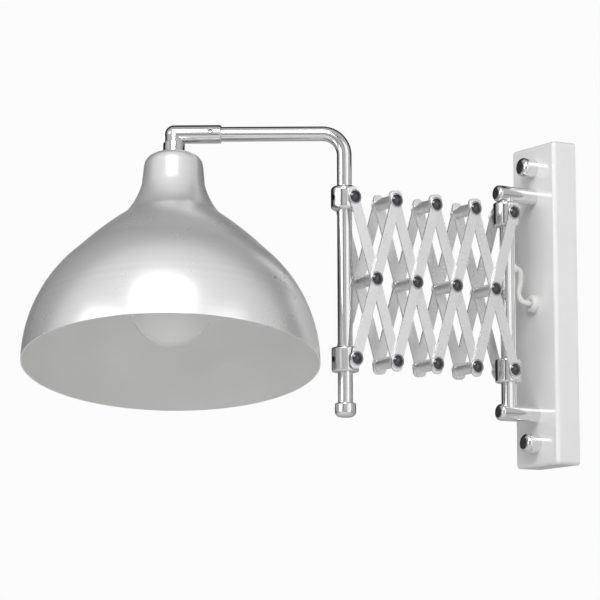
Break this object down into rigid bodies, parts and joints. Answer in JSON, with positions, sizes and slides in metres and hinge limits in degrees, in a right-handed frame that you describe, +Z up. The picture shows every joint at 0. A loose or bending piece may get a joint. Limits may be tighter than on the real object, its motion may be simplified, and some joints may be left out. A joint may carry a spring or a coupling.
{
  "type": "accordion wall lamp",
  "caption": "Wall lamp on a scissor lattice arm: box wall plate, upright rod, pantograph of flat bars, bent tube arm and tilting spun metal dome shade.",
  "frame": {"origin": "centre of the wall plate's back, on the wall", "axes": "+Z up, +Y into the wall, the scissor arm reaches along -Y, +X to the right seen from the room"},
  "size_m": [0.234, 0.4654, 0.27],
  "materials": {
    "plate_enamel": "glossy",
    "zinc_steel": "satin",
    "nickel": "polished",
    "bar_steel": "satin",
    "dark_rivet": "polished",
    "spacer_steel": "satin",
    "bush_plastic": "glossy",
    "lead_sheath": "matte",
    "shade_metal": "satin",
    "socket_metal": "satin",
    "socket_porcelain": "glossy",
    "bulb_brass": "satin",
    "opal_glass": "opal"
  },
  "bodies": {
    "wall_base": {"wall_plate": "plate_enamel", "mounting_strap": "zinc_steel", "strap_studs": "zinc_steel", "cover_nuts": "nickel", "upper_post": "nickel", "lower_post": "nickel", "post_nuts": "zinc_steel", "wall_rod": "nickel", "cord_grommet": "bush_plastic", "inlet_bush": "bush_plastic", "terminal_block": "bush_plastic", "earth_screw": "zinc_steel", "lead": "lead_sheath"},
    "upper_wall_collar": {"upper_wall_collar": "nickel", "upper_wall_pivots": "dark_rivet"},
    "lower_wall_collar": {"lower_wall_collar": "nickel", "lower_wall_pivots": "dark_rivet"},
    "falling_bars_1": {"falling_bar_1_front": "bar_steel", "falling_bar_1_rear": "bar_steel", "rivets_1": "dark_rivet", "spacers_1": "spacer_steel"},
    "rising_bars_1": {"rising_bar_1_front": "bar_steel", "rising_bar_1_rear": "bar_steel"},
    "falling_bars_2": {"falling_bar_2_front": "bar_steel", "falling_bar_2_rear": "bar_steel", "rivets_2": "dark_rivet", "spacers_2": "spacer_steel"},
    "rising_bars_2": {"rising_bar_2_front": "bar_steel", "rising_bar_2_rear": "bar_steel"},
    "falling_bars_3": {"falling_bar_3_front": "bar_steel", "falling_bar_3_rear": "bar_steel", "rivets_3": "dark_rivet", "spacers_3": "spacer_steel"},
    "rising_bars_3": {"rising_bar_3_front": "bar_steel", "rising_bar_3_rear": "bar_steel"},
    "falling_bars_4": {"falling_bar_4_front": "bar_steel", "falling_bar_4_rear": "bar_steel", "rivets_4": "dark_rivet", "spacers_4": "spacer_steel"},
    "rising_bars_4": {"rising_bar_4_front": "bar_steel", "rising_bar_4_rear": "bar_steel"},
    "upper_lamp_collar": {"upper_lamp_collar": "nickel", "upper_lamp_collar_set_screw": "dark_rivet", "upper_lamp_pivots": "dark_rivet"},
    "lower_lamp_collar": {"lower_lamp_collar": "nickel", "lower_lamp_collar_set_screw": "dark_rivet", "lower_lamp_pivots": "dark_rivet"},
    "lamp_arm": {"arm_tube": "nickel", "end_cap": "nickel"},
    "lamp_head": {"swivel_elbow": "nickel", "elbow_set_screw": "dark_rivet", "coupling_ring": "nickel", "threaded_nipple": "nickel", "lock_nut": "zinc_steel", "shade": "shade_metal", "socket_cap": "socket_metal", "socket_body": "socket_porcelain", "bulb_cap": "bulb_brass", "bulb_glass": "opal_glass"}
  },
  "joints": [
    {"name": "arm_swing", "type": "hinge", "parent": "wall_base", "child": "upper_wall_collar", "pos_m": [0, -0.05, 0], "axis": [0, 0, 1], "range_deg": [-80, 80]},
    {"name": "arm_extend", "type": "hinge", "parent": "upper_wall_collar", "child": "falling_bars_1", "pos_m": [0, -0.052, 0.0742], "axis": [-1, 0, 0], "range_deg": [-7.46, 33.54]},
    {"name": "cross_1_pivot", "type": "hinge", "parent": "falling_bars_1", "child": "rising_bars_1", "pos_m": [0, -0.07135, 0.0087], "axis": [1, 0, 0], "range_deg": [-14.94, 67.1]},
    {"name": "lower_wall_pivot", "type": "hinge", "parent": "rising_bars_1", "child": "lower_wall_collar", "pos_m": [0, -0.052, -0.0568], "axis": [-1, 0, 0], "range_deg": [-7.48, 33.56]},
    {"name": "top_joint_1", "type": "hinge", "parent": "rising_bars_1", "child": "falling_bars_2", "pos_m": [0, -0.0907, 0.0742], "axis": [-1, 0, 0], "range_deg": [-14.94, 67.1]},
    {"name": "cross_2_pivot", "type": "hinge", "parent": "falling_bars_2", "child": "rising_bars_2", "pos_m": [0, -0.11006, 0.0087], "axis": [1, 0, 0], "range_deg": [-14.94, 67.1]},
    {"name": "top_joint_2", "type": "hinge", "parent": "rising_bars_2", "child": "falling_bars_3", "pos_m": [0, -0.12941, 0.0742], "axis": [-1, 0, 0], "range_deg": [-14.94, 67.1]},
    {"name": "cross_3_pivot", "type": "hinge", "parent": "falling_bars_3", "child": "rising_bars_3", "pos_m": [0, -0.14876, 0.0087], "axis": [1, 0, 0], "range_deg": [-14.94, 67.1]},
    {"name": "top_joint_3", "type": "hinge", "parent": "rising_bars_3", "child": "falling_bars_4", "pos_m": [0, -0.16811, 0.0742], "axis": [-1, 0, 0], "range_deg": [-14.94, 67.1]},
    {"name": "cross_4_pivot", "type": "hinge", "parent": "falling_bars_4", "child": "rising_bars_4", "pos_m": [0, -0.18747, 0.0087], "axis": [1, 0, 0], "range_deg": [-14.94, 67.1]},
    {"name": "upper_lamp_pivot", "type": "hinge", "parent": "rising_bars_4", "child": "upper_lamp_collar", "pos_m": [0, -0.20682, 0.0742], "axis": [-1, 0, 0], "range_deg": [-7.48, 33.56]},
    {"name": "lower_lamp_pivot", "type": "hinge", "parent": "falling_bars_4", "child": "lower_lamp_collar", "pos_m": [0, -0.20682, -0.0568], "axis": [1, 0, 0], "range_deg": [-7.48, 33.56]},
    {"name": "arm_swivel", "type": "hinge", "parent": "upper_lamp_collar", "child": "lamp_arm", "pos_m": [0, -0.20882, 0], "axis": [0, 0, -1], "range_deg": [-111.6, 48.4]},
    {"name": "shade_tilt", "type": "hinge", "parent": "lamp_arm", "child": "lamp_head", "pos_m": [-0.0721, -0.32602, 0.1275], "axis": [0.524, 0.8517, 0], "range_deg": [-47.6, 72.4]}
  ],
  "couplings": [
    {"joint": "cross_1_pivot", "follows": "arm_extend", "ratio": 2},
    {"joint": "lower_wall_pivot", "follows": "arm_extend", "ratio": 1},
    {"joint": "top_joint_1", "follows": "arm_extend", "ratio": 2},
    {"joint": "cross_2_pivot", "follows": "arm_extend", "ratio": 2},
    {"joint": "top_joint_2", "follows": "arm_extend", "ratio": 2},
    {"joint": "cross_3_pivot", "follows": "arm_extend", "ratio": 2},
    {"joint": "top_joint_3", "follows": "arm_extend", "ratio": 2},
    {"joint": "cross_4_pivot", "follows": "arm_extend", "ratio": 2},
    {"joint": "upper_lamp_pivot", "follows": "arm_extend", "ratio": 1},
    {"joint": "lower_lamp_pivot", "follows": "arm_extend", "ratio": 1}
  ]
}
